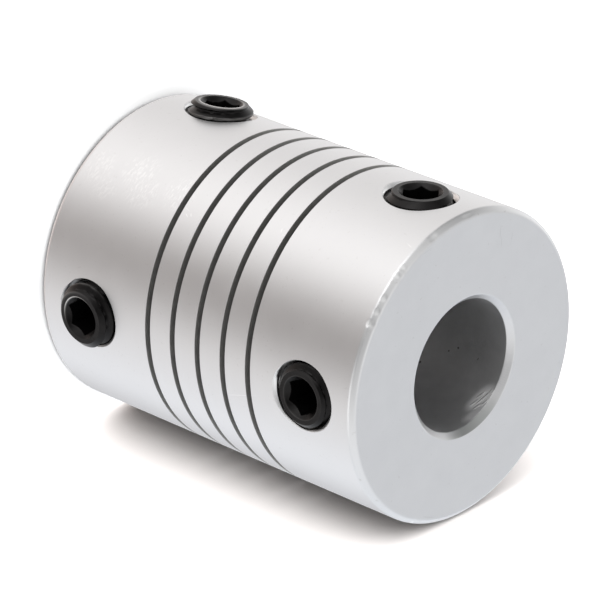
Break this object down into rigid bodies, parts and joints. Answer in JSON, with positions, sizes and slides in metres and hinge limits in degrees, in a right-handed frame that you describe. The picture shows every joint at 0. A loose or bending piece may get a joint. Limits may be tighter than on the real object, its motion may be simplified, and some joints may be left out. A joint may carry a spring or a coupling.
{
  "type": "flexible coupling",
  "caption": "Beam-type flexible shaft coupling: a bored metal cylinder with a helical slit cut through its wall and set screws near its ends.",
  "frame": {"origin": "centre of the lower end face", "axes": "+Z along the shaft axis from the lower end to the upper end, +X towards the first upper set screw, to within 1 degree"},
  "size_m": [0.0197, 0.0197, 0.025],
  "materials": {
    "body": "fine matt turned and bead blasted, bare",
    "screws": "black oxide steel, satin"
  },
  "bodies": {
    "coupling": {"coupling_body": "body"},
    "upper_screw_first": {"upper_set_screw_first": "screws"},
    "upper_screw_second": {"upper_set_screw_second": "screws"},
    "lower_screw_first": {"lower_set_screw_first": "screws"},
    "lower_screw_second": {"lower_set_screw_second": "screws"}
  },
  "joints": [
    {"name": "upper_screw_first_drive", "type": "slide", "parent": "coupling", "child": "upper_screw_first", "axis": [0.9998, 0.0175, 0], "range_m": [-0.0016, 0.0025]},
    {"name": "upper_screw_second_drive", "type": "slide", "parent": "coupling", "child": "upper_screw_second", "axis": [0, -1, 0], "range_m": [-0.0017, 0.0024]},
    {"name": "lower_screw_first_drive", "type": "slide", "parent": "coupling", "child": "lower_screw_first", "axis": [0.9986, 0.0523, 0], "range_m": [-0.00365, 0.00195]},
    {"name": "lower_screw_second_drive", "type": "slide", "parent": "coupling", "child": "lower_screw_second", "axis": [-0.1478, -0.989, 0], "range_m": [-0.00355, 0.00205]}
  ]
}
